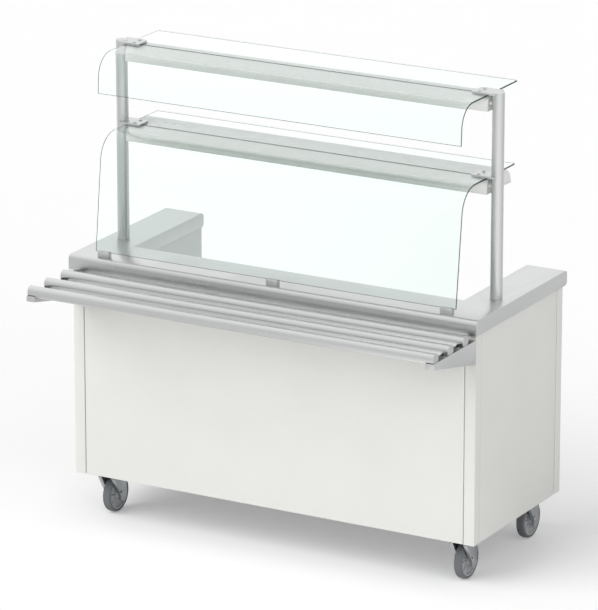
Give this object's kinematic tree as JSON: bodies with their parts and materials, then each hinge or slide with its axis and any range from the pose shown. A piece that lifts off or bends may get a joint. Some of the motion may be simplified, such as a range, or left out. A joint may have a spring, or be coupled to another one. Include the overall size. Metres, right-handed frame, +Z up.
{
  "type": "mobile salad bar",
  "caption": "Mobile salad bar on swivel castors: U-shaped counter, two-tier curved glass display with light hoods, and a tubular tray slide.",
  "frame": {"origin": "on the floor, at the centre of the whole footprint with the tray slide", "axes": "+X to the right seen from the customer's side, +Y from the customers to the staff, +Z up"},
  "size_m": [1.5, 0.912, 1.5885],
  "materials": {
    "brushed_stainless": "satin",
    "coated_panel": "satin powder coat",
    "white_enamel": "gloss enamel",
    "frame_paint": "matt grey paint",
    "core_board": "raw particle board",
    "clear_glass": "clear, polished edges",
    "lamp_glass": "white phosphor tube",
    "zinc_plate": "bright zinc plating",
    "wheel_plastic": "moulded nylon",
    "grey_rubber": "non-marking grey rubber",
    "grey_plastic": "moulded end cap"
  },
  "bodies": {
    "counter": {"worktop": "brushed_stainless", "worktop_core": "core_board", "front_panel": "coated_panel", "end_panel_left": "coated_panel", "end_panel_right": "coated_panel", "corner_post_front_left": "coated_panel", "corner_post_front_right": "coated_panel", "corner_post_rear_left": "coated_panel", "corner_post_rear_right": "coated_panel", "base_frame": "frame_paint", "base_deck": "brushed_stainless", "pedestal_lining_left": "brushed_stainless", "pedestal_lining_right": "brushed_stainless", "bay_front_panel": "brushed_stainless", "gantry_post_left": "brushed_stainless", "gantry_post_right": "brushed_stainless", "post_caps": "brushed_stainless", "post_fixings": "zinc_plate", "upper_hood": "white_enamel", "lower_hood": "white_enamel", "upper_hood_ends": "white_enamel", "lower_hood_ends": "white_enamel", "lamp_trays": "white_enamel", "lamp_tubes": "lamp_glass", "upper_shelf_glass": "clear_glass", "lower_shelf_glass": "clear_glass", "upper_guard_glass": "clear_glass", "lower_guard_glass": "clear_glass", "upper_clamps": "brushed_stainless", "lower_clamps": "brushed_stainless", "clamp_screws": "zinc_plate", "guard_clips": "brushed_stainless", "tray_bracket_left": "brushed_stainless", "tray_bracket_right": "brushed_stainless", "tray_tube_front": "brushed_stainless", "tray_tube_middle": "brushed_stainless", "tray_tube_rear": "brushed_stainless", "tray_tube_caps": "grey_plastic", "bracket_bolts": "zinc_plate", "castor_plate_front_left": "zinc_plate", "castor_plate_front_right": "zinc_plate", "castor_plate_rear_left": "zinc_plate", "castor_plate_rear_right": "zinc_plate", "castor_bolts": "zinc_plate"},
    "swivel_front_left": {"castor_fork_front_left": "zinc_plate", "castor_axle_front_left": "zinc_plate"},
    "wheel_front_left": {"castor_hub_front_left": "wheel_plastic", "castor_tyre_front_left": "grey_rubber"},
    "swivel_front_right": {"castor_fork_front_right": "zinc_plate", "castor_axle_front_right": "zinc_plate"},
    "wheel_front_right": {"castor_hub_front_right": "wheel_plastic", "castor_tyre_front_right": "grey_rubber"},
    "swivel_rear_left": {"castor_fork_rear_left": "zinc_plate", "castor_axle_rear_left": "zinc_plate"},
    "wheel_rear_left": {"castor_hub_rear_left": "wheel_plastic", "castor_tyre_rear_left": "grey_rubber"},
    "swivel_rear_right": {"castor_fork_rear_right": "zinc_plate", "castor_axle_rear_right": "zinc_plate"},
    "wheel_rear_right": {"castor_hub_rear_right": "wheel_plastic", "castor_tyre_rear_right": "grey_rubber"}
  },
  "joints": [
    {"name": "castor_swivel_front_left", "type": "hinge", "parent": "counter", "child": "swivel_front_left", "pos_m": [-0.657, -0.085, 0.142], "axis": [0, 0, 1], "continuous": true},
    {"name": "wheel_spin_front_left", "type": "hinge", "parent": "swivel_front_left", "child": "wheel_front_left", "pos_m": [-0.657, -0.057, 0.0625], "axis": [1, 0, 0], "continuous": true},
    {"name": "castor_swivel_front_right", "type": "hinge", "parent": "counter", "child": "swivel_front_right", "pos_m": [0.657, -0.085, 0.142], "axis": [0, 0, 1], "continuous": true},
    {"name": "wheel_spin_front_right", "type": "hinge", "parent": "swivel_front_right", "child": "wheel_front_right", "pos_m": [0.657, -0.057, 0.0625], "axis": [1, 0, 0], "continuous": true},
    {"name": "castor_swivel_rear_left", "type": "hinge", "parent": "counter", "child": "swivel_rear_left", "pos_m": [-0.657, 0.357, 0.142], "axis": [0, 0, 1], "continuous": true},
    {"name": "wheel_spin_rear_left", "type": "hinge", "parent": "swivel_rear_left", "child": "wheel_rear_left", "pos_m": [-0.657, 0.385, 0.0625], "axis": [1, 0, 0], "continuous": true},
    {"name": "castor_swivel_rear_right", "type": "hinge", "parent": "counter", "child": "swivel_rear_right", "pos_m": [0.657, 0.357, 0.142], "axis": [0, 0, 1], "continuous": true},
    {"name": "wheel_spin_rear_right", "type": "hinge", "parent": "swivel_rear_right", "child": "wheel_rear_right", "pos_m": [0.657, 0.385, 0.0625], "axis": [1, 0, 0], "continuous": true}
  ]
}
